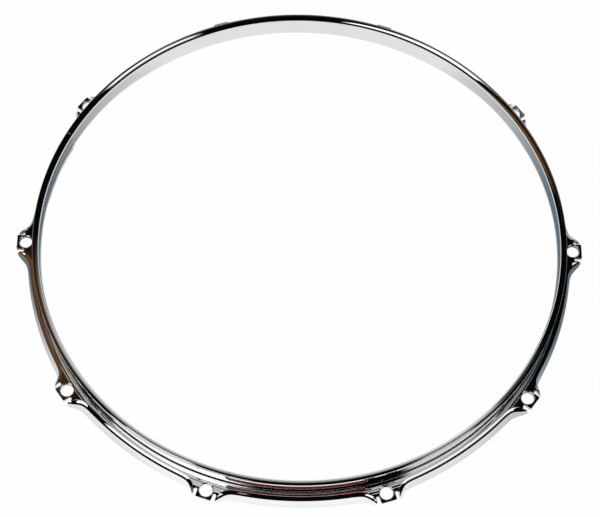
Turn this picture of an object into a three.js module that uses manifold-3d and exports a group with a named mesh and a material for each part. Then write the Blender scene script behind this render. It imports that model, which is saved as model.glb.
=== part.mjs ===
// Pressed steel counter hoop for a 14 inch drum: a triple flanged ring with ten tension rod ears.
// Millimetres, +Z up. The hoop lies as it does on a bench: the lower edge of its skirt on z = 0,
// its axis on Z, and the rim that the sticks strike uppermost.
import * as THREE from 'three';
import { mergeVertices } from 'three/addons/utils/BufferGeometryUtils.js';
import Module from 'manifold-3d';

// The drum that the hoop fits
const shellDiameter = 355.6;
const shellClearance = 1.7;
const lugCount = 10;

// The sheet and its three bends
const sheetThickness = 2.3;
const bendRadius = 1.2;
const rimFlatWidth = 1.4;
const rimHeight = 17.8;
const skirtDepth = 10;
const skirtLeanAngle = THREE.MathUtils.degToRad(9);
const skirtLossShare = 0.93;

// The plan of the outer edge: nearly round between the ears, swelling out to each ear
const midSpanFlatWidth = 1.9;
const midSpanBow = 0.5;
const earShoulderLength = 3.7;
const earSwellPower = 6.5;
const foldTurnLength = 5.5;

// Each ear: a flat tab with a tension rod hole, freed from the skirt by a slit on each side
const holeFromWall = 9.2;
const holeDiameter = 8.4;
const holeEdgeRoll = 0.9;
const tabEndWidth = 2;
const tabSideWidth = 1.25;
const slitWidth = 2.2;
const slitDepth = 5.4;

// The butt weld that closes the strip into a ring, and the red foil band on the wall
const weldAngle = THREE.MathUtils.degToRad(154.6);
const weldWidth = 1.6;
const seatClearance = 0.3;
const bandLength = 94;
const bandHeight = 7.6;
const bandThickness = 0.4;
const bandCentreBelowRim = 9.3;
const bandAngle = THREE.MathUtils.degToRad(-90);

// How finely the solids are cut
const bendSteps = 3;
const plainSpanSteps = 3;
const holeSides = 18;
const slitEndSides = 4;
const bandEndSteps = 5;
const bandRunSteps = 16;
const swellStationShares = [0.15, 0.3, 0.44, 0.6, 0.9];
const slopeSpan = 0.01;
const cutOverrun = 4;

// Sizes worked out from those above
const innerRadius = shellDiameter / 2 + shellClearance;
const wallRadius = innerRadius + sheetThickness;
const outerBend = bendRadius + sheetThickness;
const rimRadius = innerRadius + outerBend + rimFlatWidth;
const midSpanRadius = wallRadius + bendRadius + midSpanFlatWidth + outerBend;
const holeRadius = wallRadius + holeFromWall;
const earReach = holeRadius + holeDiameter / 2 + tabEndWidth;
const earTop = skirtDepth;
const earUnderside = earTop - sheetThickness;
const rimTop = earTop + rimHeight;
const tabHalfWidth = holeDiameter / 2 + tabSideWidth;
const slitMiddle = tabHalfWidth + slitWidth / 2;
const slitOuterSide = tabHalfWidth + slitWidth;
const earHalfWidth = slitOuterSide + earShoulderLength;
const earPitch = (2 * Math.PI) / lugCount;

const wasm = await Module();
wasm.setup();

function toSolid(geometry) {
  const bare = geometry.clone();
  bare.deleteAttribute('normal');
  bare.deleteAttribute('uv');
  const merged = mergeVertices(bare);
  return new wasm.Manifold(new wasm.Mesh({
    numProp: 3,
    vertProperties: new Float32Array(merged.attributes.position.array),
    triVerts: new Uint32Array(merged.index.array),
  }));
}

function toGeometry(solid) {
  const mesh = solid.getMesh();
  const geometry = new THREE.BufferGeometry();
  geometry.setAttribute('position', new THREE.BufferAttribute(mesh.vertProperties, 3));
  geometry.setIndex(new THREE.BufferAttribute(mesh.triVerts, 1));
  geometry.computeVertexNormals();
  return geometry;
}

function atAngle(angle, [radius, height]) {
  return [radius * Math.cos(angle), radius * Math.sin(angle), height];
}

// A solid through stations, each a closed loop of as many points, joined to a ring or capped
function sweepThrough(stations, closed) {
  const loopSize = stations[0].length;
  const triangles = [];
  const vertex = (station, point) => (station % stations.length) * loopSize + (point % loopSize);
  const spans = closed ? stations.length : stations.length - 1;
  for (let station = 0; station < spans; station += 1) {
    for (let point = 0; point < loopSize; point += 1) {
      const here = vertex(station, point);
      const next = vertex(station, point + 1);
      const ahead = vertex(station + 1, point);
      const across = vertex(station + 1, point + 1);
      triangles.push(here, ahead, across, here, across, next);
    }
  }
  if (!closed) {
    const last = stations.length - 1;
    for (let point = 1; point < loopSize - 1; point += 1) {
      triangles.push(vertex(0, 0), vertex(0, point), vertex(0, point + 1));
      triangles.push(vertex(last, 0), vertex(last, point + 1), vertex(last, point));
    }
  }
  const geometry = new THREE.BufferGeometry();
  const positions = new Float32Array(stations.flat(2));
  geometry.setAttribute('position', new THREE.BufferAttribute(positions, 3));
  geometry.setIndex(triangles);
  return geometry;
}

// A bend in the sheet: pairs of points on its upper and its lower face, from one heading to another.
// Points of a section are [distance outwards, height].
function bendPairs(centre, upperRadius, lowerRadius, startAngle, endAngle) {
  const pairs = [];
  for (let step = 0; step <= bendSteps; step += 1) {
    const angle = startAngle + ((endAngle - startAngle) * step) / bendSteps;
    const at = (radius) => [centre[0] + radius * Math.cos(angle), centre[1] + radius * Math.sin(angle)];
    pairs.push([at(upperRadius), at(lowerRadius)]);
  }
  return pairs;
}

// The rim flange, the wall and the foot of the wall, which are the same all round
function uprightPairs() {
  const centreRadius = wallRadius + bendRadius;
  const rimCentre = [centreRadius, rimTop - outerBend];
  const footCentre = [centreRadius, earTop + bendRadius];
  return [
    [[rimRadius, rimTop - sheetThickness], [rimRadius, rimTop]],
    ...bendPairs(rimCentre, bendRadius, outerBend, Math.PI / 2, Math.PI),
    ...bendPairs(footCentre, bendRadius, outerBend, Math.PI, (3 * Math.PI) / 2),
  ];
}

// How far the outline has swelled towards an ear, as a share, at a distance along the hole circle
// from the ear's middle
function swellAt(offset) {
  return 1 / (1 + (Math.abs(offset) / earHalfWidth) ** earSwellPower);
}

// Radius of the outer side of the skirt's fold at the same distance
function foldRadiusAt(offset) {
  const spanShare = Math.abs(offset) / holeRadius / earPitch;
  const bow = (midSpanBow * (1 + Math.cos(2 * Math.PI * spanShare))) / 2;
  return midSpanRadius + bow + (earReach - midSpanRadius - midSpanBow) * swellAt(offset);
}

// Where the fold's section stands in plan, in the ear's own frame with the ear on X, and its heading:
// along the ear at the slit, turning until it is square to the outline, so the sheet keeps its thickness
function foldFrameAt(offset) {
  const angle = offset / holeRadius;
  const radius = foldRadiusAt(offset);
  const slope = (foldRadiusAt(offset + slopeSpan) - foldRadiusAt(offset - slopeSpan)) / (2 * slopeSpan);
  const squareTurn = angle - Math.atan((slope * holeRadius) / radius);
  const turned = THREE.MathUtils.smoothstep(Math.abs(offset), slitOuterSide, slitOuterSide + foldTurnLength);
  const heading = squareTurn * turned;
  return {
    heading,
    x: radius * Math.cos(angle) - outerBend * Math.cos(heading),
    y: radius * Math.sin(angle) - outerBend * Math.sin(heading),
  };
}

// The shelf folded down into the skirt, outwards from the fold's centre. Where the fold runs further
// out, towards an ear, less of the strip is left to hang below it.
function skirtPairs(offset) {
  const centreHeight = earUnderside - bendRadius;
  const pairs = bendPairs([0, centreHeight], outerBend, bendRadius, Math.PI / 2, skirtLeanAngle);
  const [upper, lower] = pairs[pairs.length - 1];
  const down = lower[1] * (1 - skirtLossShare * swellAt(offset));
  const across = down * Math.tan(skirtLeanAngle);
  pairs.push([[upper[0] + across, upper[1] - down], [lower[0] + across, lower[1] - down]]);
  return pairs;
}

// The end of the flat tab, with as many pairs as the skirt so that the two join in one sweep
function tabPairs() {
  const pairs = [];
  for (let step = 0; step <= bendSteps + 1; step += 1) {
    const out = (outerBend * step) / (bendSteps + 1);
    pairs.push([[out, earTop], [out, earUnderside]]);
  }
  return pairs;
}

// The whole section of the sheet at an offset from an ear's middle, its outer part in a plan frame
function sectionLoop(ear, offset, outerPairs, frame) {
  const earAngle = ear * earPitch;
  const outward = ([out, height]) => {
    const x = frame.x + out * Math.cos(frame.heading);
    const y = frame.y + out * Math.sin(frame.heading);
    return atAngle(earAngle + Math.atan2(y, x), [Math.hypot(x, y), height]);
  };
  const upright = uprightPairs().map((pair) => pair.map((at) => atAngle(earAngle + offset / holeRadius, at)));
  const pairs = [...upright, ...outerPairs.map((pair) => pair.map(outward))];
  return [...pairs.map((pair) => pair[1]), ...pairs.map((pair) => pair[0]).reverse()];
}

// Distances from an ear's middle at which the sweep has a station, out to the middle of the span
function skirtOffsets() {
  const start = slitMiddle + slitWidth / 4;
  const swell = swellStationShares.map((share) => start + share * earHalfWidth);
  const lastSwell = swell[swell.length - 1];
  const midSpan = (holeRadius * earPitch) / 2;
  const plain = [];
  for (let step = 1; step <= plainSpanSteps; step += 1) {
    plain.push(lastSwell + ((midSpan - lastSwell) * step) / plainSpanSteps);
  }
  return [start, ...swell, ...plain];
}

function hoopStations() {
  const tabEdge = slitMiddle - slitWidth / 4;
  const offsets = skirtOffsets();
  const inward = offsets.slice(0, -1).reverse();
  const stations = [];
  for (let ear = 0; ear < lugCount; ear += 1) {
    const addSkirt = (offset) => {
      stations.push(sectionLoop(ear, offset, skirtPairs(offset), foldFrameAt(offset)));
    };
    const addTab = (offset) => {
      stations.push(sectionLoop(ear, offset, tabPairs(), { x: earReach - outerBend, y: offset, heading: 0 }));
    };
    inward.forEach((offset) => addSkirt(-offset));
    addTab(-tabEdge);
    addTab(tabEdge);
    offsets.forEach((offset) => addSkirt(offset));
  }
  return stations;
}

// Cutter for a tension rod hole, wider at the top where the edge of the hole is rolled over
function holeCutter() {
  const radius = holeDiameter / 2;
  const profile = [
    new THREE.Vector2(0, earUnderside - cutOverrun),
    new THREE.Vector2(radius, earUnderside - cutOverrun),
    new THREE.Vector2(radius, earTop - holeEdgeRoll),
    new THREE.Vector2(radius + holeEdgeRoll, earTop),
    new THREE.Vector2(radius + holeEdgeRoll, earTop + sheetThickness),
    new THREE.Vector2(0, earTop + sheetThickness),
  ];
  const cutter = new THREE.LatheGeometry(profile, holeSides);
  cutter.rotateX(Math.PI / 2);
  cutter.translate(holeRadius, 0, 0);
  return cutter;
}

// Cutter for the slit on one side of a tab, round at its inner end
function slitCutter(side) {
  const half = slitWidth / 2;
  const endCentre = earReach - slitDepth + half;
  const outer = earReach + cutOverrun;
  const outline = new THREE.Shape();
  outline.moveTo(outer, -half);
  outline.lineTo(outer, half);
  outline.lineTo(endCentre, half);
  outline.absarc(endCentre, 0, half, Math.PI / 2, (3 * Math.PI) / 2, false);
  outline.closePath();
  const height = sheetThickness + skirtDepth + cutOverrun;
  const cutter = new THREE.ExtrudeGeometry(outline, {
    depth: height, bevelEnabled: false, curveSegments: slitEndSides,
  });
  cutter.translate(0, side * slitMiddle, earTop + sheetThickness - height);
  return cutter;
}

// A radial slab across the sheet at the weld
function weldSlab(width) {
  const inner = innerRadius - cutOverrun;
  const outer = earReach + cutOverrun;
  const height = rimTop + 2 * cutOverrun;
  const slab = new THREE.BoxGeometry(outer - inner, width, height);
  slab.translate((outer + inner) / 2, 0, rimTop / 2);
  slab.rotateZ(weldAngle);
  return toSolid(slab);
}

function buildRing() {
  let ring = toSolid(sweepThrough(hoopStations(), true));
  const cutters = [holeCutter(), slitCutter(1), slitCutter(-1)];
  for (let ear = 0; ear < lugCount; ear += 1) {
    for (const cutter of cutters) {
      ring = ring.subtract(toSolid(cutter.clone().rotateZ(ear * earPitch)));
    }
  }
  return ring;
}

// The red band: a thin foil with round ends, curved to the outer face of the wall
function buildBand() {
  const inner = wallRadius + seatClearance;
  const outer = inner + bandThickness;
  const middle = rimTop - bandCentreBelowRim;
  const endRadius = bandHeight / 2;
  const straight = bandLength / 2 - endRadius;
  const marks = [];
  for (let step = bandEndSteps; step >= 1; step -= 1) {
    const angle = (Math.PI / 2) * (step / (bandEndSteps + 1));
    marks.push([-straight - endRadius * Math.sin(angle), endRadius * Math.cos(angle)]);
  }
  for (let step = 0; step <= bandRunSteps; step += 1) {
    marks.push([-straight + (2 * straight * step) / bandRunSteps, endRadius]);
  }
  for (let step = 1; step <= bandEndSteps; step += 1) {
    const angle = (Math.PI / 2) * (step / (bandEndSteps + 1));
    marks.push([straight + endRadius * Math.sin(angle), endRadius * Math.cos(angle)]);
  }
  const stations = marks.map(([along, half]) => {
    const corners = [
      [inner, middle + half], [inner, middle - half], [outer, middle - half], [outer, middle + half],
    ];
    return corners.map((at) => atAngle(bandAngle + along / wallRadius, at));
  });
  return sweepThrough(stations, false);
}

const chrome = new THREE.MeshStandardMaterial({ color: 0xd4d7da, roughness: 0.06, metalness: 1 });
const platedWeld = new THREE.MeshStandardMaterial({ color: 0xb9bdc0, roughness: 0.22, metalness: 1 });
const redFoil = new THREE.MeshStandardMaterial({ color: 0x7c1119, roughness: 0.35, metalness: 0.2 });

function addMesh(group, name, geometry, material) {
  const mesh = new THREE.Mesh(geometry, material);
  mesh.name = name;
  group.add(mesh);
}

const ring = buildRing();
const drumHoop = new THREE.Group();
addMesh(drumHoop, 'hoop_strip', toGeometry(ring.subtract(weldSlab(weldWidth + 2 * seatClearance))), chrome);
addMesh(drumHoop, 'weld_seam', toGeometry(ring.intersect(weldSlab(weldWidth))), platedWeld);
addMesh(drumHoop, 'accent_band', buildBand(), redFoil);

export default drumHoop;
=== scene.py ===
"""Looks of a chromed, pressed steel drum hoop for a 14 inch drum: a triple flanged ring with ten ears.

The hoop's lengths are written in millimetres in the part's own frame and become metres when a mesh is
made. What the materials and the studio measure is in metres.
"""

import math

import bpy
import numpy as np
from mathutils import Matrix, Vector
from mathutils.geometry import tessellate_polygon


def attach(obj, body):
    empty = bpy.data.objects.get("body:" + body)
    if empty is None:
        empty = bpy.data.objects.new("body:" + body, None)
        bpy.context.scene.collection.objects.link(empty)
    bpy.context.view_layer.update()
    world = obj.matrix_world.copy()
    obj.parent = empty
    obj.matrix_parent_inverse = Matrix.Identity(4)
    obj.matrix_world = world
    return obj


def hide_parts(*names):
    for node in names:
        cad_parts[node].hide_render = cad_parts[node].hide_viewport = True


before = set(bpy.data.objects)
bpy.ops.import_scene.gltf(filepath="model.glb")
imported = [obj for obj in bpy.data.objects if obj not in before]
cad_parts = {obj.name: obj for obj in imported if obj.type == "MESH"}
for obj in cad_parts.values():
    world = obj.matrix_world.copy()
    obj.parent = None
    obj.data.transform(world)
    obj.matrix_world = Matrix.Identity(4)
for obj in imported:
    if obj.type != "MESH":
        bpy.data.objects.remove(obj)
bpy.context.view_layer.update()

MM = 0.001
TO_DEGREES = 180 / math.pi

# The sheet, its bends and its heights
INNER_RADIUS = 179.5
SHEET = 2.3
BEND = 1.2
OUTER_BEND = BEND + SHEET
WALL_RADIUS = INNER_RADIUS + SHEET
FOOT_RADIUS = WALL_RADIUS + BEND
RIM_RADIUS = 184.4
EAR_TOP = 10.0
EAR_UNDER = EAR_TOP - SHEET
RIM_TOP = 27.8
SKIRT_LEAN = math.radians(9)
SKIRT_LOSS = 0.93

# The plan of the outer edge and the ears
EARS = 10
HALF_PITCH = math.pi / EARS
HOLE_CIRCLE = 191.0
HOLE_RADIUS = 4.2
HOLE_ROLL = 0.9
EAR_REACH = 197.2
MID_SPAN_RADIUS = 188.4
MID_SPAN_BOW = 0.5
TAB_HALF = 5.45
SLIT_WIDTH = 2.2
SLIT_END_X = 192.9
SLIT_OUTER = TAB_HALF + SLIT_WIDTH
EAR_HALF_WIDTH = 11.35
SWELL_POWER = 6.5
FOLD_TURN = 5.5

# Rounded edges of the sheet
EDGE = 0.25
LIP_EDGE = 0.65
TAB_CORNER = 0.8

# The weld, with its bead's profile as [share of the half width, height]
WELD_ANGLE = math.radians(154.6)
BEAD_WIDTH = 0.9
BEAD_PROFILE = (
    (-1, -0.15), (-0.7, 0.03), (-0.35, 0.18), (0, 0.22), (0.35, 0.18), (0.7, 0.03), (1, -0.15),
)
BEAD_FADE = (RIM_TOP - 4.0, RIM_TOP - 2.0)
BEAD_ON_RIM = 0.004
BEAD_LOWEST = 0.02

# The foil band on the front of the wall
BAND_ANGLE = math.radians(-90)
BAND_LENGTH = 94.0
BAND_HEIGHT = 7.6
BAND_MIDDLE = RIM_TOP - 9.3
BORDER_WIDTH = 0.42
FOIL_INNER = 181.70
FOIL_OUTER = 181.98
BORDER_OUTER = 182.02
FOIL_EDGE = 0.06
FOIL_LEAST_HALF = 0.12

# How finely the meshes are divided
WALL_COLUMNS = 37
EAR_ZONE = 17.5
EAR_ZONE_STEP = 0.33
SPAN_COLUMNS = 24
FOLD_ROWS = 14
SKIRT_ROWS = 3
ROUND_ROWS = 3
ROLL_ROWS = 6
HOLLOW_BEND_STEPS = 8
LIP_STEPS = 5
SHOULDER_STEPS = 16
FOOT_STEPS = 14
HOLE_STEPS = 28
TAB_CORNER_STEPS = 5
SLIT_END_STEPS = 10
BAND_END_STEPS = 16
BAND_RUN_STEPS = 60
SLOPE_SPAN = 0.01


class Surface:
    """Vertices with their exact normals, shared where patches meet, and the faces between them."""

    def __init__(self):
        self.points = []
        self.normals = []
        self.faces = []
        self.known = {}

    def vertex(self, point, normal):
        key = (round(point[0], 3), round(point[1], 3), round(point[2], 3))
        if key not in self.known:
            self.known[key] = len(self.points)
            self.points.append(point)
            self.normals.append(normal)
        return self.known[key]

    def face(self, corners):
        """Adds a face, wound so that it faces the way its vertices' normals do."""
        kept = [c for i, c in enumerate(corners) if c != corners[i - 1]]
        if len(set(kept)) < 3:
            return
        ring = [self.points[c] for c in kept]
        across = sum(np.cross(a - ring[0], b - ring[0]) for a, b in zip(ring[1:], ring[2:]))
        faces_out = across @ sum(self.normals[c] for c in kept) > 0
        self.faces.append(kept if faces_out else kept[::-1])

    def grid(self, points, normals):
        """Quads over points[row][column], with normals to match."""
        rows, columns = points.shape[:2]
        index = [[self.vertex(points[r, c], normals[r, c]) for c in range(columns)] for r in range(rows)]
        for r in range(rows - 1):
            for c in range(columns - 1):
                self.face([index[r][c], index[r][c + 1], index[r + 1][c + 1], index[r + 1][c]])

    def flat(self, outline, height, up):
        """A flat region inside an outline of [x, y] points."""
        normal = np.array([0.0, 0.0, 1.0 if up else -1.0])
        ring = [np.array([x, y, height]) for x, y in outline]
        index = [self.vertex(p, normal) for p in ring]
        for tri in tessellate_polygon([[Vector(p) for p in ring]]):
            self.face([index[i] for i in tri])

    def mesh(self, name):
        data = bpy.data.meshes.new(name)
        data.from_pydata([tuple(p * MM for p in point) for point in self.points], [], self.faces)
        data.validate()
        data.polygons.foreach_set("use_smooth", [True] * len(data.polygons))
        if len(data.vertices) == len(self.points):
            data.normals_split_custom_set_from_vertices([tuple(n) for n in self.normals])
        data.update()
        return data


def unit(v):
    return v / np.linalg.norm(v, axis=-1, keepdims=True)


def arc(start, end, steps):
    return [start + (end - start) * i / steps for i in range(steps + 1)]


def smoothstep(x, low, high):
    t = np.clip((x - low) / (high - low), 0, 1)
    return t * t * (3 - 2 * t)


def swept(section, angles, centre=0.0):
    """Points and normals of a section turned round an upright axis that stands at [centre, 0].

    The section's rows are [radius, height, normal outwards, normal upwards].
    """
    points = [[(centre + r * math.cos(a), r * math.sin(a), z) for a in angles] for r, z, _, _ in section]
    normals = [[(out * math.cos(a), out * math.sin(a), up) for a in angles] for _, _, out, up in section]
    return np.array(points), np.array(normals)


def swell_at(offset):
    """How far the plan has swelled out to an ear, 0 to 1, at an offset from the ear round the hole circle."""
    return 1 / (1 + (np.abs(offset) / EAR_HALF_WIDTH) ** SWELL_POWER)


def fold_radius_at(offset):
    share = np.abs(offset) / HOLE_CIRCLE / (2 * HALF_PITCH)
    bow = MID_SPAN_BOW * (1 + np.cos(2 * math.pi * share)) / 2
    return MID_SPAN_RADIUS + bow + (EAR_REACH - MID_SPAN_RADIUS - MID_SPAN_BOW) * swell_at(offset)


def fold_frame_at(offset):
    """The fold's centre in plan and the heading of its section, in the ear's frame with the ear on X."""
    angle = offset / HOLE_CIRCLE
    radius = fold_radius_at(offset)
    change = fold_radius_at(offset + SLOPE_SPAN) - fold_radius_at(offset - SLOPE_SPAN)
    slope = change / (2 * SLOPE_SPAN)
    heading = angle - np.arctan(slope * HOLE_CIRCLE / radius)
    heading = heading * smoothstep(offset, SLIT_OUTER, SLIT_OUTER + FOLD_TURN)
    x = radius * np.cos(angle) - OUTER_BEND * np.cos(heading)
    y = radius * np.sin(angle) - OUTER_BEND * np.sin(heading)
    return x, y, heading


def fold_turn(row):
    """The way the sheet faces at a row of the fold and skirt, as an angle: up at first, then as the skirt."""
    return math.pi / 2 + (SKIRT_LEAN - math.pi / 2) * min(row / FOLD_ROWS, 1)


def skirt_point(offset, row, outer):
    """A point of the fold and skirt. Rows up to FOLD_ROWS go round the fold, the others down the skirt."""
    x, y, heading = fold_frame_at(offset)
    radius = OUTER_BEND if outer else BEND
    turn = fold_turn(row)
    out = radius * math.cos(turn)
    height = EAR_UNDER - BEND + radius * math.sin(turn)
    if row > FOLD_ROWS:
        full = EAR_UNDER - BEND + BEND * math.sin(SKIRT_LEAN)
        run = full * (1 - SKIRT_LOSS * swell_at(offset)) / math.cos(SKIRT_LEAN) - EDGE
        share = (row - FOLD_ROWS) / SKIRT_ROWS
        out += run * share * math.sin(SKIRT_LEAN)
        height -= run * share * math.cos(SKIRT_LEAN)
    return np.array([x + out * np.cos(heading), y + out * np.sin(heading), height])


def skirt_grid(offsets, outer):
    """Points and normals of the fold and skirt, a row for each step of the section."""
    rows = FOLD_ROWS + SKIRT_ROWS + 1
    points = np.zeros((rows, len(offsets), 3))
    normals = np.zeros_like(points)
    for r in range(rows):
        turn = fold_turn(r)
        for c, s in enumerate(offsets):
            along = skirt_point(s + SLOPE_SPAN, r, outer) - skirt_point(s - SLOPE_SPAN, r, outer)
            _, _, heading = fold_frame_at(s)
            level = np.array([np.cos(heading), np.sin(heading), 0.0])
            down = math.sin(turn) * level + np.array([0.0, 0.0, -math.cos(turn)])
            normal = unit(np.cross(down, along))
            if normal @ (level + np.array([0.0, 0.0, 1.0])) < 0:
                normal = -normal
            points[r, c] = skirt_point(s, r, outer)
            normals[r, c] = normal if outer else -normal
    return points, normals


def edge_rows(tops, top_normals, bottoms, bottom_normals, outwards):
    """The rounded free edge of the sheet: a column for each point of the edge, down from top to bottom."""
    points, normals = [], []

    def quarter(places, faces, turns):
        for turn in turns:
            points.append(places + EDGE * (math.sin(turn) * outwards - (1 - math.cos(turn)) * faces))
            normals.append(unit(math.sin(turn) * outwards + math.cos(turn) * faces))

    quarter(tops, top_normals, arc(0, math.pi / 2, ROUND_ROWS))
    quarter(bottoms, bottom_normals, arc(math.pi / 2, 0, ROUND_ROWS))
    return np.array(points), np.array(normals)


def upright_section():
    """The closed side of the section, from the shelf's top up the wall, over the rim and down inside."""
    rows = []

    def bend(centre, radius, start, end, steps, hollow=False):
        sign = -1 if hollow else 1
        for turn in arc(math.radians(start), math.radians(end), steps):
            c, s = math.cos(turn), math.sin(turn)
            rows.append((centre[0] + radius * c, centre[1] + radius * s, sign * c, sign * s))

    foot = (FOOT_RADIUS, EAR_TOP + BEND)
    shoulder = (FOOT_RADIUS, RIM_TOP - OUTER_BEND)
    lip = RIM_RADIUS - LIP_EDGE
    bend(foot, BEND, 270, 180, HOLLOW_BEND_STEPS, hollow=True)
    bend(shoulder, BEND, 180, 90, HOLLOW_BEND_STEPS, hollow=True)
    bend((lip, RIM_TOP - SHEET + LIP_EDGE), LIP_EDGE, -90, 0, LIP_STEPS)
    bend((lip, RIM_TOP - LIP_EDGE), LIP_EDGE, 0, 90, LIP_STEPS)
    bend(shoulder, OUTER_BEND, 90, 180, SHOULDER_STEPS)
    bend(foot, OUTER_BEND, 180, 270, FOOT_STEPS)
    return rows


def hole_section():
    """The section of a rod hole's edge: rolled over at the top, down the hole, rounded at the bottom."""
    rows = []
    for t in arc(0, math.pi / 2, ROLL_ROWS):
        radius = HOLE_RADIUS + HOLE_ROLL * (1 - math.sin(t))
        rows.append((radius, EAR_TOP - HOLE_ROLL * (1 - math.cos(t)), -math.sin(t), math.cos(t)))
    for t in arc(0, math.pi / 2, ROUND_ROWS):
        radius = HOLE_RADIUS + EDGE * (1 - math.cos(t))
        rows.append((radius, EAR_UNDER + EDGE * (1 - math.sin(t)), -math.cos(t), -math.sin(t)))
    return rows


def ear_path(fold_start):
    """The free edge in plan from the tab's middle, round its corner and the slit's end, to the fold."""
    path = [(EAR_REACH - EDGE, 0.0)]
    outwards = [(1.0, 0.0)]
    corner = TAB_CORNER - EDGE
    for t in arc(0, math.pi / 2, TAB_CORNER_STEPS):
        x = EAR_REACH - TAB_CORNER + corner * math.cos(t)
        y = TAB_HALF - TAB_CORNER + corner * math.sin(t)
        path.append((x, y))
        outwards.append((math.cos(t), math.sin(t)))
    slit_middle = TAB_HALF + SLIT_WIDTH / 2
    reach = SLIT_WIDTH / 2 + EDGE
    for t in arc(-math.pi / 2, -3 * math.pi / 2, SLIT_END_STEPS):
        path.append((SLIT_END_X + reach * math.cos(t), slit_middle + reach * math.sin(t)))
        outwards.append((-math.cos(t), -math.sin(t)))
    path.append(fold_start)
    outwards.append((0.0, -1.0))
    return path, outwards


def free_edge(path, path_outwards, offsets, outer, inner):
    """The edge of the sheet along the ear's path, down the skirt's end and along the skirt's foot."""
    tops = [(x, y, EAR_TOP) for x, y in path]
    bottoms = [(x, y, EAR_UNDER) for x, y in path]
    top_normals = [(0.0, 0.0, 1.0)] * len(path)
    bottom_normals = [(0.0, 0.0, -1.0)] * len(path)
    outwards = [(x, y, 0.0) for x, y in path_outwards]

    def add(row, column, outward):
        tops.append(outer[0][row, column])
        bottoms.append(inner[0][row, column])
        top_normals.append(outer[1][row, column])
        bottom_normals.append(inner[1][row, column])
        outwards.append(outward)

    lean, drop = math.sin(SKIRT_LEAN), -math.cos(SKIRT_LEAN)
    sideways = np.array([0.0, -1.0, 0.0])
    hang = np.array([lean, 0.0, drop])
    for row in range(1, len(outer[0])):
        add(row, 0, sideways)
    for t in (math.pi / 6, math.pi / 3):
        add(-1, 0, math.cos(t) * sideways + math.sin(t) * hang)
    for column, offset in enumerate(offsets):
        _, _, heading = fold_frame_at(offset)
        add(-1, column, (lean * np.cos(heading), lean * np.sin(heading), drop))
    edge = (tops, top_normals, bottoms, bottom_normals, outwards)
    return edge_rows(*(np.array(values, float) for values in edge))


def half_sector():
    """The half of an ear's sector from the ear's middle to the middle of the span, y positive."""
    part = Surface()
    angles = np.linspace(0, HALF_PITCH, WALL_COLUMNS)
    part.grid(*swept(upright_section(), angles))

    first = math.asin((SLIT_OUTER + EDGE) / fold_radius_at(SLIT_OUTER)) * HOLE_CIRCLE
    near = list(np.arange(first, EAR_ZONE, EAR_ZONE_STEP))
    far = list(np.linspace(EAR_ZONE, HALF_PITCH * HOLE_CIRCLE, SPAN_COLUMNS))
    offsets = np.array(near + far)
    outer = skirt_grid(offsets, True)
    inner = skirt_grid(offsets, False)
    part.grid(*outer)
    part.grid(*inner)

    turns = arc(math.pi, 0, HOLE_STEPS)
    part.grid(*swept(hole_section(), turns, HOLE_CIRCLE))

    fold_line = [(p[0], p[1]) for p in outer[0][0]]
    path, outwards = ear_path(fold_line[0])
    inner_arc = [(FOOT_RADIUS * math.cos(a), FOOT_RADIUS * math.sin(a)) for a in angles[::-1]]
    top = (EAR_TOP, HOLE_RADIUS + HOLE_ROLL, True)
    underside = (EAR_UNDER, HOLE_RADIUS + EDGE, False)
    for height, reach, up in (top, underside):
        hole = [(HOLE_CIRCLE + reach * math.cos(t), reach * math.sin(t)) for t in turns]
        part.flat(hole + path + fold_line[1:] + inner_arc, height, up)
    part.grid(*free_edge(path, outwards, offsets, outer, inner))
    return part


def whole_ring(part):
    """The half sector and its mirror image, copied to every ear."""
    ring = Surface()
    for copy in range(2 * EARS):
        turn = 2 * HALF_PITCH * (copy // 2)
        c, s = math.cos(turn), math.sin(turn)
        spin = np.array([[c, -s, 0], [s, c, 0], [0, 0, 1]])
        flip = np.diag([1, 1 - 2 * (copy % 2), 1])
        move = spin @ flip
        index = [ring.vertex(move @ p, move @ n) for p, n in zip(part.points, part.normals)]
        for corners in part.faces:
            ring.face([index[i] for i in corners])
    return ring


def smooth_mesh(name, vertices, faces):
    data = bpy.data.meshes.new(name)
    data.from_pydata(vertices, [], faces)
    data.validate()
    data.polygons.foreach_set("use_smooth", [True] * len(data.polygons))
    data.update()
    return data


def loft(name, loops, forward):
    """Closed loops joined each to the next, with a cap at both ends."""
    count = len(loops[0])
    faces = []
    for r in range(len(loops) - 1):
        here, ahead = r * count, (r + 1) * count
        for c in range(count):
            d = (c + 1) % count
            quad = (here + c, here + d, ahead + d, ahead + c)
            faces.append(quad if forward else (quad[0], quad[3], quad[2], quad[1]))
    faces.append(tuple(range(count)))
    faces.append(tuple(range((len(loops) - 1) * count, len(loops) * count))[::-1])
    return smooth_mesh(name, [point for loop in loops for point in loop], faces)


def in_section(point, normal):
    """A point and its normal as a row of a section: radius, height, normal outwards, normal upwards."""
    radius = math.hypot(point[0], point[1])
    out = math.hypot(normal[0], normal[1]) * np.sign(normal[:2] @ point[:2])
    return radius, point[2], out, normal[2]


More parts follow.
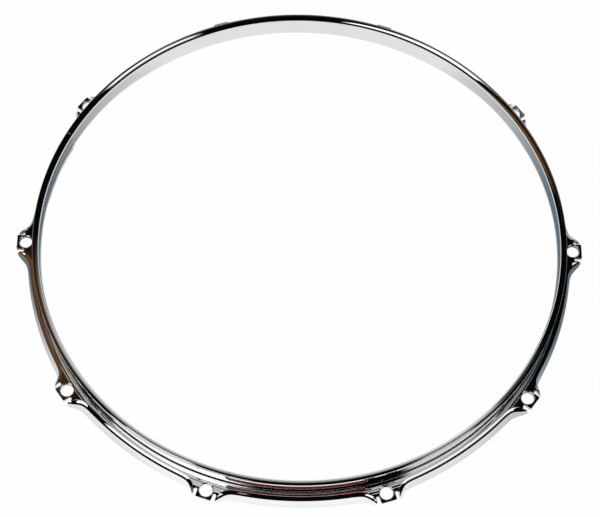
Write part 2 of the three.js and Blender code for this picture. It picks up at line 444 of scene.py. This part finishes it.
def weld_bead(name):
    """The dressed butt weld: a low, narrow swelling that follows the section right round the sheet."""
    pitch = 2 * HALF_PITCH
    offset = WELD_ANGLE % pitch
    offset = min(offset, pitch - offset) * HOLE_CIRCLE
    down = [in_section(p[0], n[0]) for p, n in zip(*skirt_grid([offset], True))]
    back = [in_section(p[0], n[0]) for p, n in zip(*skirt_grid([offset], False))]
    section = upright_section() + back + down[::-1]
    loops = []
    for share, lift in BEAD_PROFILE:
        angle = WELD_ANGLE + share * BEAD_WIDTH / 2 / INNER_RADIUS
        loop = []
        for radius, height, out, up in section:
            on_rim = smoothstep(height, *BEAD_FADE)
            rise = lift if lift < 0 else lift * (1 - on_rim) + BEAD_ON_RIM * on_rim
            r = (radius + out * rise) * MM
            z = min(max(height + up * rise, BEAD_LOWEST), RIM_TOP) * MM
            loop.append((r * math.cos(angle), r * math.sin(angle), z))
        loops.append(loop)
    return loft(name, loops, True)


def on_wall(along, up, radius):
    """A point of the band, from its place along and up from the band's middle."""
    angle = BAND_ANGLE + along / WALL_RADIUS
    return (radius * MM * math.cos(angle), radius * MM * math.sin(angle), (BAND_MIDDLE + up) * MM)


def band_run(straight):
    """Places along the band's straight part, from its left end to its right, without the ends."""
    return [-straight + 2 * straight * i / BAND_RUN_STEPS for i in range(1, BAND_RUN_STEPS)]


def band_outline(pull):
    """The band's outline, pulled in by a distance, as [along, up] points."""
    reach = BAND_HEIGHT / 2 - pull
    straight = BAND_LENGTH / 2 - BAND_HEIGHT / 2
    quarter = math.pi / 2
    right = arc(-quarter, quarter, BAND_END_STEPS)
    left = arc(quarter, 3 * quarter, BAND_END_STEPS)
    points = [(straight + reach * math.cos(t), reach * math.sin(t)) for t in right]
    points += [(-along, reach) for along in band_run(straight)]
    points += [(-straight + reach * math.cos(t), reach * math.sin(t)) for t in left]
    points += [(along, -reach) for along in band_run(straight)]
    return points


def band_field(name):
    """The foil's coloured field: columns along the wall, each a closed loop round the foil's thickness."""
    half = BAND_HEIGHT / 2 - BORDER_WIDTH
    straight = BAND_LENGTH / 2 - BAND_HEIGHT / 2
    turns = arc(-math.pi / 2, math.pi / 2, BAND_END_STEPS)
    middle = BAND_END_STEPS // 2
    marks = [(-straight + half * math.sin(t), half * math.cos(t)) for t in turns[:middle + 1]]
    marks += [(along, half) for along in band_run(straight)]
    marks += [(straight + half * math.sin(t), half * math.cos(t)) for t in turns[middle:]]
    inner, outer, shoulder = FOIL_INNER, FOIL_OUTER, FOIL_OUTER - FOIL_EDGE
    loops = []
    for along, reach in marks:
        reach = max(reach, FOIL_LEAST_HALF)
        loop = [(-reach, inner), (-reach, shoulder), (-reach + FOIL_EDGE, outer)]
        loop += [(reach * share, outer) for share in (-0.5, 0, 0.5)]
        loop += [(reach - FOIL_EDGE, outer), (reach, shoulder), (reach, inner)]
        loops.append([on_wall(along, up, radius) for up, radius in loop])
    return loft(name, loops, False)


def band_border(name):
    """The thin metal line round the foil."""
    inner, outer, shoulder = FOIL_INNER, BORDER_OUTER, BORDER_OUTER - FOIL_EDGE
    loops = [(0, inner), (0, shoulder), (FOIL_EDGE, outer)]
    loops += [(BORDER_WIDTH - FOIL_EDGE, outer), (BORDER_WIDTH, shoulder), (BORDER_WIDTH, inner)]
    vertices, faces = [], []
    for pull, radius in loops:
        vertices += [on_wall(a, u, radius) for a, u in band_outline(pull)]
    count = len(band_outline(0))
    for r in range(len(loops)):
        here, ahead = r * count, (r + 1) % len(loops) * count
        for c in range(count):
            d = (c + 1) % count
            faces.append((here + c, here + d, ahead + d, ahead + c))
    return smooth_mesh(name, vertices, faces)


def add_object(name, data, material, slot, *nodes):
    obj = bpy.data.objects.new(name, data)
    bpy.context.scene.collection.objects.link(obj)
    data.materials.append(material)
    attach(obj, "root")
    if nodes:
        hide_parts(*nodes)


class Nodes:
    """Short names for making the nodes of a material."""

    def __init__(self, tree):
        self.tree = tree
        tree.nodes.clear()

    def put(self, value, socket):
        """Links a socket to an input, or writes a constant into it."""
        if isinstance(value, bpy.types.NodeSocket):
            self.tree.links.new(value, socket)
        else:
            socket.default_value = value

    def add(self, kind, inputs=None, **settings):
        node = self.tree.nodes.new(kind)
        for key, value in settings.items():
            setattr(node, key, value)
        for key, value in (inputs or {}).items():
            self.put(value, node.inputs[key])
        return node

    def math(self, operation, *values):
        inputs = dict(enumerate(values))
        return self.add("ShaderNodeMath", inputs, operation=operation).outputs[0]

    def product(self, first, *others):
        for value in others:
            first = self.math("MULTIPLY", first, value)
        return first

    def length(self, x, y):
        return self.math("SQRT", self.math("ADD", self.product(x, x), self.product(y, y)))

    def between(self, value, low, high, to_low=0.0, to_high=1.0):
        """A smooth ramp: to_low where the value is under low, to_high where it is over high."""
        inputs = {"Value": value, "From Min": low, "From Max": high, "To Min": to_low, "To Max": to_high}
        node = self.add("ShaderNodeMapRange", inputs, interpolation_type="SMOOTHSTEP")
        return node.outputs["Result"]

    def stripe(self, value, start, full, fading, end):
        """0 under start and over end, 1 from full to fading."""
        return self.product(self.between(value, start, full), self.between(value, fading, end, 1.0, 0.0))

    def mix(self, factor, a, b, blend="MIX"):
        node = self.add("ShaderNodeMix", data_type="RGBA", blend_type=blend)
        for socket, value in ((node.inputs[0], factor), (node.inputs[6], a), (node.inputs[7], b)):
            self.put(value, socket)
        return node.outputs[2]

    def place(self):
        return self.add("ShaderNodeTexCoord").outputs["Object"]

    def split(self, vector):
        return self.add("ShaderNodeSeparateXYZ", {0: vector}).outputs

    def polar(self):
        """The angle round the hoop's axis, the distance from it and the height."""
        x, y, z = self.split(self.place())
        return self.math("ARCTAN2", y, x), self.length(x, y), z

    def noise(self, vector, scale, detail, roughness=0.5):
        inputs = {"Vector": vector, "Scale": scale, "Detail": detail, "Roughness": roughness}
        return self.add("ShaderNodeTexNoise", inputs).outputs["Fac"]

    def bump(self, height, strength, distance):
        inputs = {"Height": height, "Strength": strength, "Distance": distance}
        return self.add("ShaderNodeBump", inputs).outputs[0]

    def surface(self, shader):
        self.add("ShaderNodeOutputMaterial", {"Surface": shader.outputs[0]})


def new_material(name):
    material = bpy.data.materials.new(name)
    material.use_nodes = True
    return material, Nodes(material.node_tree)


def dimmed(colour, share):
    return [c * share for c in colour[:3]] + [1.0]


def around_coordinates(n, along, across):
    """Object coordinates unrolled round the hoop, stretched along it, so that polishing marks run with it."""
    angle, radius, z = n.polar()
    joined = n.add("ShaderNodeCombineXYZ", {
        0: n.product(angle, along),
        1: n.product(radius, across),
        2: n.product(z, across),
    })
    return joined.outputs[0]


# Ramps, here and below, are written as for Nodes.between: the two ends, and what is given at them where
# that isn't 0 and 1. NOISE_SPREAD are the ends of most noise, which keeps near its middle.
NOISE_SPREAD = (0.3, 0.7)

# The patch of the inner wall beside the weld with a painted reflection: dark lines along the wall and a
# darker, streaky lower part. Its stripes are written as for Nodes.stripe: where they start, are full, start
# to fade and end.
PAINTED_PATCH_ANGLES = tuple(math.degrees(WELD_ANGLE) + past for past in (0.4, 0.8, 14.5, 17.5))
UPPER_REFLECTION_LINE = (0.0228, 0.0232, 0.0242, 0.0247)
MIDDLE_REFLECTION_LINE = (0.0165, 0.0170, 0.0178, 0.0184)
PAINTED_PATCH_FACE = (0.1796, 0.1799, 1.0, 0.0)
LOWER_PART = (0.0150, 0.0160, 1.0, 0.0)
PATCH_STREAKS = (0.42, 0.58, 0.25, 0.9)
PAINTED_REFLECTION_TONE = (0.12, 0.11, 0.10, 1.0)


def painted_reflection_patch(n, marks):
    """A painted reflection on the inner wall beside the weld: dark lines along the wall and a darker, streaky
    lower part.
    """
    angle, radius, z = n.polar()
    degrees = n.product(angle, TO_DEGREES)
    patch = n.product(n.stripe(degrees, *PAINTED_PATCH_ANGLES), n.between(radius, *PAINTED_PATCH_FACE))
    lower = n.product(n.between(z, *LOWER_PART), n.between(marks, *PATCH_STREAKS))
    lines = n.math("MAXIMUM", n.stripe(z, *UPPER_REFLECTION_LINE), n.stripe(z, *MIDDLE_REFLECTION_LINE))
    return n.product(patch, n.math("MAXIMUM", lines, lower))


# How the plating varies. Noise is written as [scale, detail, roughness].
MARK_STRETCH = (9.0, 2600.0)
MARK_NOISE = (1.0, 3.0, 0.6)
HAZE_NOISE = (38.0, 4.0, 0.55)
PIT_SCALE = 420.0
HAZE_SPREAD = (0.35, 0.75)
HAZE_ROUGHNESS = (0.8, 1.7)
MARK_SPREAD = (0.45, 0.8)
MARK_ROUGHNESS = 0.6
MARK_HEIGHT = 0.6
PIT_DEPTH = (0.0, 0.12, -1.0, 0.0)
PLATE_BUMP_DISTANCE = 0.00002
HAZE_DIMMING = 0.965


def chrome_material(name, colour, roughness, wave):
    """Polished plating: faint polishing marks round the hoop, a slow haze, small pits, and a painted
    reflection on the inner wall beside the weld.
    """
    material, n = new_material(name)
    marks = n.noise(around_coordinates(n, *MARK_STRETCH), *MARK_NOISE)
    haze = n.noise(n.place(), *HAZE_NOISE)
    voronoi = n.add("ShaderNodeTexVoronoi", {"Vector": n.place(), "Scale": PIT_SCALE, "Randomness": 1.0})
    pits = n.between(voronoi.outputs["Distance"], *PIT_DEPTH)
    hazy = n.between(haze, *HAZE_SPREAD, *(roughness * share for share in HAZE_ROUGHNESS))
    marked = n.between(marks, *MARK_SPREAD, 0.0, roughness * MARK_ROUGHNESS)
    height = n.math("ADD", n.product(marks, MARK_HEIGHT), pits)
    tint = n.mix(n.between(haze, *NOISE_SPREAD), dimmed(colour, HAZE_DIMMING), colour)
    n.surface(n.add("ShaderNodeBsdfPrincipled", {
        # The base colour carries the painted reflection beside the weld.
        "Base Color": n.mix(painted_reflection_patch(n, marks), tint, PAINTED_REFLECTION_TONE),
        "Metallic": 1.0,
        "Roughness": n.math("ADD", hazy, marked),
        "Normal": n.bump(height, wave, PLATE_BUMP_DISTANCE),
    }))
    return material


# How the ink varies
CLOUD_STRETCH = (60.0, 900.0)
CLOUD_NOISE = (1.0, 3.0)
CLOUD_DIMMING = 0.82
INK_NOISE = (2600.0, 2.0)
INK_BUMP = (0.12, 0.00003)
INK_ROUGHENING = 1.4
INK_SPECULAR = 0.12


def foil_material(name, colour, roughness):
    """Matt printed ink with a slow change of depth and a fine grain."""
    material, n = new_material(name)
    cloud = n.noise(around_coordinates(n, *CLOUD_STRETCH), *CLOUD_NOISE)
    grain = n.noise(n.place(), *INK_NOISE)
    n.surface(n.add("ShaderNodeBsdfPrincipled", {
        "Base Color": n.mix(n.between(cloud, *NOISE_SPREAD), dimmed(colour, CLOUD_DIMMING), colour),
        "Roughness": n.between(grain, *NOISE_SPREAD, roughness, roughness * INK_ROUGHENING),
        "Normal": n.bump(grain, *INK_BUMP),
        "Specular IOR Level": INK_SPECULAR,
    }))
    return material


chrome = chrome_material("chrome_plate", (0.75, 0.755, 0.755, 1.0), 0.012, 0.006)
border_chrome = chrome_material("border_silver", (0.72, 0.70, 0.69, 1.0), 0.16, 0.15)
weld_chrome = chrome_material("weld_plate", (0.74, 0.745, 0.745, 1.0), 0.035, 0.12)
red_foil = foil_material("red_foil_ink", (0.42, 0.004, 0.008, 1.0), 0.30)

add_object("hoop_steel", whole_ring(half_sector()).mesh("hoop_steel"), chrome, "chrome", "hoop_strip")
add_object("weld_bead", weld_bead("weld_bead"), weld_chrome, "plated_weld", "weld_seam")
add_object("band_field", band_field("band_field"), red_foil, "red_foil", "accent_band")
add_object("band_border", band_border("band_border"), border_chrome, "chrome")


# The table, with a painted shade and painted light that only the metal sees. Ramps run over the distance
# ahead of the hoop's middle, sideways, behind it or out from it.
FLOOR_HALF = 9.0
FLOOR_SHARE = 0.985
FLOOR_GLOSSY_SHARE = 0.97
AHEAD = (-0.14, -0.99)
FRONT_LIT = (0.03, 0.155)
BACK_LIT = (0.035, 0.180)
MIDDLE_LIT = (0.085, 0.150, 1.0, 0.0)
NEAR_FRONT = (0.160, 0.188)
FAR_FRONT = (0.23, 0.27)
FAR_OUT = (0.25, 0.29)
STANDING_INSIDE = 0.1795
STANDING_OUTSIDE = 0.1885
# Painted contact shade: the table is darkened by a fifth under the hoop and close round it.
PAINTED_CONTACT_SHADE = (-0.004, 0.005, 0.80, 1.0)
# A painted bright band along the inner wall's foot: its width, growing towards the back, and its fade.
FOOT_SLOPE = 0.045
FOOT_LEAST = 0.0018
FOOT_MOST = 0.0072
FOOT_FADE = (-0.0008, 0.0004, 1.0, 0.0)
FOOT_START = (-0.008, -0.005)
# Painted tones of the table in the metal: painted shade at the sides, painted light where lit, brighter in
# front, brightest along the foot, and painted black far in front.
PAINTED_SIDE_SHADE = (0.14, 0.19, 0.23, 1.0)
PAINTED_LIT_TONE = (1.02, 1.025, 0.99, 1.0)
PAINTED_FRONT_LIGHT = (1.24, 1.24, 1.20, 1.0)
PAINTED_FOOT_LIGHT = (1.34, 1.34, 1.32, 1.0)
PAINTED_FAR_BLACK = (0.01, 0.01, 0.01, 1.0)
BLACK = (0.0, 0.0, 0.0, 1.0)
WHITE = (1.0, 1.0, 1.0, 1.0)
PAINT = ((0.90, 0.90, 0.90, 1.0), (0.92, 0.92, 0.92, 1.0))
PAINT_NOISE = (900.0, 2.0)


def flat_sheet(name, corners):
    data = bpy.data.meshes.new(name)
    data.from_pydata(corners, [], [(0, 1, 2, 3)])
    sheet = bpy.data.objects.new(name, data)
    bpy.context.scene.collection.objects.link(sheet)
    return sheet


def painted_floor_shade(n, place):
    """The table's painted shade and painted light, seen only in the metal: painted shade at the sides and
    close round the hoop, painted light in front, behind and by the foot, and painted black far in front.
    """
    x, y, _ = n.split(place)
    ahead = n.math("ADD", n.product(x, AHEAD[0]), n.product(y, AHEAD[1]))
    radius = n.length(x, y)
    painted_lit_mask = n.math("MAXIMUM", n.between(ahead, *FRONT_LIT), n.between(y, *BACK_LIT))
    painted_lit_mask = n.math("MAXIMUM", painted_lit_mask, n.between(n.math("ABSOLUTE", x), *MIDDLE_LIT))
    inside = n.math("SUBTRACT", STANDING_INSIDE, radius)
    outside = n.math("SUBTRACT", radius, STANDING_OUTSIDE)
    painted_contact_mask = n.between(n.math("MAXIMUM", inside, outside), *PAINTED_CONTACT_SHADE)
    foot_width = n.math("ADD", n.product(y, FOOT_SLOPE), FOOT_LEAST)
    past_foot = n.math("SUBTRACT", inside, n.math("MINIMUM", foot_width, FOOT_MOST))
    foot = n.product(n.between(past_foot, *FOOT_FADE), n.between(inside, *FOOT_START))
    far = n.product(n.between(ahead, *FAR_FRONT), n.between(radius, *FAR_OUT))
    shade = n.mix(painted_lit_mask, PAINTED_SIDE_SHADE, PAINTED_LIT_TONE)
    shade = n.mix(n.between(ahead, *NEAR_FRONT), shade, PAINTED_FRONT_LIGHT)
    shade = n.mix(painted_contact_mask, BLACK, shade)
    shade = n.mix(foot, shade, PAINTED_FOOT_LIGHT)
    return n.mix(far, shade, PAINTED_FAR_BLACK)


def floor_object():
    """A white table. The camera sees it near white, and the metal sees it with a painted shade and painted
    light round the hoop.
    """
    h = FLOOR_HALF
    floor = flat_sheet("floor", [(-h, -h, 0), (h, -h, 0), (h, h, 0), (-h, h, 0)])
    material, n = new_material("floor_white_with_painted_shade")
    place = n.place()
    rays = n.add("ShaderNodeLightPath").outputs
    seen = n.math("MAXIMUM", rays["Is Camera Ray"], rays["Is Transmission Ray"])
    mirrored = n.product(rays["Is Glossy Ray"], FLOOR_GLOSSY_SHARE)
    share = n.math("ADD", n.product(seen, FLOOR_SHARE), mirrored)
    # The tone the metal sees is the painted shade and painted light; the camera sees white.
    tone = n.mix(seen, painted_floor_shade(n, place), WHITE)
    grain = n.noise(place, *PAINT_NOISE)
    paint = n.mix(n.between(grain, *NOISE_SPREAD), *PAINT)
    n.surface(n.add("ShaderNodeMixShader", {
        0: n.math("MINIMUM", share, 1.0),
        1: n.add("ShaderNodeBsdfDiffuse", {"Color": paint}).outputs[0],
        2: n.add("ShaderNodeEmission", {"Color": tone, "Strength": 1.0}).outputs[0],
    }))
    floor.data.materials.append(material)


# The brown board: its plane, the run of its front and back edges at the table, and how they lean with height
BOARD_X = -0.36
BOARD_TOP = 1.2
BOARD_FRONT = (-0.19, 0.45)
BOARD_BACK = (0.06, 0.42)
BOARD_WOOD = ((0.145, 0.070, 0.026, 1.0), (0.167, 0.081, 0.031, 1.0))
BOARD_NOISE = (14.0, 3.0)
# How brightly the board glows by height, a painted light: dimmer at its foot and high up.
BOARD_FOOT_GLOW = (0.02, 0.20, 0.7, 1.0)
BOARD_HIGH_GLOW = (0.35, 1.10, 1.0, 0.35)


def brown_board():
    """A brown board that leans back at the left of the hoop. It glows with a painted light, dimmer at its
    foot and high up; only its mirror image in the metal is seen.
    """
    edges = ((BOARD_FRONT, 0.0), (BOARD_BACK, 0.0), (BOARD_BACK, BOARD_TOP), (BOARD_FRONT, BOARD_TOP))
    board = flat_sheet("brown_board", [(BOARD_X, start + lean * z, z) for (start, lean), z in edges])
    board.visible_camera = False
    board.visible_diffuse = False
    board.visible_shadow = False
    material, n = new_material("board_brown_painted_glow")
    place = n.place()
    height = n.split(place)[2]
    grain = n.noise(place, *BOARD_NOISE)
    wood = n.mix(n.between(grain, *NOISE_SPREAD), *BOARD_WOOD)
    # The board's painted glow by height.
    level = n.product(n.between(height, *BOARD_FOOT_GLOW), n.between(height, *BOARD_HIGH_GLOW))
    n.surface(n.add("ShaderNodeEmission", {"Color": wood, "Strength": level}))
    board.data.materials.append(material)


# The lamps, each with the way to it from the hoop
LAMPS = {"left_lamp": (-0.396, -0.415, 0.819), "right_lamp": (0.54, -0.34, 0.77)}
LAMP_DISTANCE = 4.0
LAMP_SIZE = 1.1
LAMP_GLOW = 4.0


def lamp(name, direction):
    """A square soft box in front of one of the bright panels, aimed at the hoop."""
    light = bpy.data.lights.new(name, "AREA")
    light.shape = "SQUARE"
    light.size = LAMP_SIZE
    light.energy = LAMP_GLOW * math.pi * LAMP_SIZE ** 2
    obj = bpy.data.objects.new(name, light)
    obj.visible_glossy = False
    aim = Vector(direction).normalized()
    obj.location = aim * LAMP_DISTANCE
    obj.rotation_euler = aim.to_track_quat("Z", "Y").to_euler()
    bpy.context.scene.collection.objects.link(obj)


# The studio's screens are sectors round one point high up at the back. "By reach" is by the distance from
# that point on the unit sphere's plan. Angles are in degrees, from straight ahead in front and from
# straight back for the walls.
FAN_CENTRE = 0.473
DARK = (0.0025, 0.0025, 0.0027, 1.0)
LEFT_START = (-43.5, -42.0)
LEFT_END_BY_REACH = (0.25, 1.0, -25.5, -11.0)
LEFT_END_FADE = (0.0, 3.0, 1.0, 0.0)
RIGHT_START_BY_REACH = (0.12, 0.48, 37.0, 26.0)
RIGHT_START_FADE = (-3.0, 1.0)
RIGHT_END = (47.0, 50.0, 1.0, 0.0)
RIGHT_LEVELS_BY_REACH = ((0.14, 0.30, 0.65, 1.0), (0.50, 0.75, 1.0, 0.55))
PANEL_LEVELS_BY_REACH = ((0.14, 0.40, 0.85, 1.5), (0.08, 0.12), (0.6, 0.9, 1.0, 1.3))
PANEL_LEVEL_BY_HEIGHT = (0.66, 0.80)
PALE_WALLS = (
    (0.85, (-45.0, -42.0, 50.0, 90.0)),
    (0.25, (-42.0, -34.0, -12.0, -4.0)),
    (0.10, (-64.0, -50.0, -44.0, -42.0)),
)
WALL_LEVELS_BY_REACH = ((0.05, 1.00, 0.20, 1.22), (0.085, 0.125, 0.05, 1.0))
WALL_LEVEL_BY_DEPTH = (0.40, 0.50)
WALL_BLUE_SHARE = 0.965
BROWN_ANGLES = (-90.0, -80.0, -61.0, -52.0)
BROWN_BY_REACH = ((0.10, 0.14, 0.0, 0.28), (0.18, 0.26, 1.0, 0.0))
BROWN = (0.215, 0.105, 0.040, 1.0)


def studio_world():
    """A dark studio: pale walls at the back, two bright panels in front, a little brown above the board.

    The camera sees it all white.
    """
    world = bpy.data.worlds.new("studio")
    bpy.context.scene.world = world
    world.use_nodes = True
    n = Nodes(world.node_tree)
    x, y, z = n.split(n.add("ShaderNodeTexCoord").outputs["Generated"])
    front = n.math("SUBTRACT", FAN_CENTRE, y)
    back = n.math("SUBTRACT", y, FAN_CENTRE)
    fore = n.product(n.math("ARCTAN2", x, front), TO_DEGREES)
    aft = n.product(n.math("ARCTAN2", x, back), TO_DEGREES)
    reach = n.length(x, front)

    def by_reach(ramps):
        return [n.between(reach, *ramp) for ramp in ramps]

    past_end = n.math("SUBTRACT", fore, n.between(reach, *LEFT_END_BY_REACH))
    left = n.product(n.between(fore, *LEFT_START), n.between(past_end, *LEFT_END_FADE))
    past_start = n.math("SUBTRACT", fore, n.between(reach, *RIGHT_START_BY_REACH))
    right = n.product(n.between(past_start, *RIGHT_START_FADE), n.between(fore, *RIGHT_END))
    right = n.product(right, *by_reach(RIGHT_LEVELS_BY_REACH))
    panels = n.product(n.math("ADD", left, right), n.between(z, *PANEL_LEVEL_BY_HEIGHT))
    panels = n.product(panels, *by_reach(PANEL_LEVELS_BY_REACH))

    wall = 0.0
    for level, angles in PALE_WALLS:
        wall = n.math("ADD", wall, n.product(n.stripe(aft, *angles), level))
    wall = n.product(wall, n.between(y, *WALL_LEVEL_BY_DEPTH), *by_reach(WALL_LEVELS_BY_REACH))
    blue = n.product(wall, WALL_BLUE_SHARE)
    warm = n.add("ShaderNodeCombineXYZ", {0: wall, 1: wall, 2: blue}).outputs[0]

    brown = n.product(n.stripe(fore, *BROWN_ANGLES), *by_reach(BROWN_BY_REACH))
    colour = n.mix(brown, DARK, BROWN)
    colour = n.mix(1.0, colour, warm, "ADD")
    colour = n.mix(1.0, colour, panels, "ADD")
    rays = n.add("ShaderNodeLightPath").outputs
    shown = n.mix(rays["Is Camera Ray"], colour, WHITE)
    background = n.add("ShaderNodeBackground", {"Color": shown, "Strength": 1.0})
    n.add("ShaderNodeOutputWorld", {"Surface": background.outputs[0]})


CAMERA_ELEVATION = math.radians(62.15)
CAMERA_ROLL = math.radians(1.80)
CAMERA_YAW = math.radians(-0.90)
CAMERA_DISTANCE = 1285.1
CAMERA_TARGET = (0.51, -18.95, RIM_TOP)
CAMERA_SENSOR = 36.0
CAMERA_LENS = 112.525


def photo_camera():
    """The photograph's camera, at 600 x 517."""
    sine, cosine = math.sin(CAMERA_ELEVATION), math.cos(CAMERA_ELEVATION)
    forward, right, up = Vector((0, cosine, -sine)), Vector((1, 0, 0)), Vector((0, sine, cosine))
    sine, cosine = math.sin(CAMERA_ROLL), math.cos(CAMERA_ROLL)
    right, up = right * cosine + up * sine, up * cosine - right * sine
    matrix = Matrix((right, up, -forward)).transposed().to_4x4()
    matrix.translation = (Vector(CAMERA_TARGET) - forward * CAMERA_DISTANCE) * MM
    data = bpy.data.cameras.new("photo_camera")
    data.sensor_fit = "HORIZONTAL"
    data.sensor_width = CAMERA_SENSOR
    data.lens = CAMERA_LENS
    data.clip_start = 0.05
    data.clip_end = 100.0
    camera = bpy.data.objects.new("photo_camera", data)
    camera.matrix_world = Matrix.Rotation(CAMERA_YAW, 4, "Z") @ matrix
    bpy.context.scene.collection.objects.link(camera)
    bpy.context.scene.camera = camera


floor_object()
brown_board()
for lamp_name, lamp_direction in LAMPS.items():
    lamp(lamp_name, lamp_direction)
studio_world()
photo_camera()
bpy.context.scene.view_settings.view_transform = "Standard"
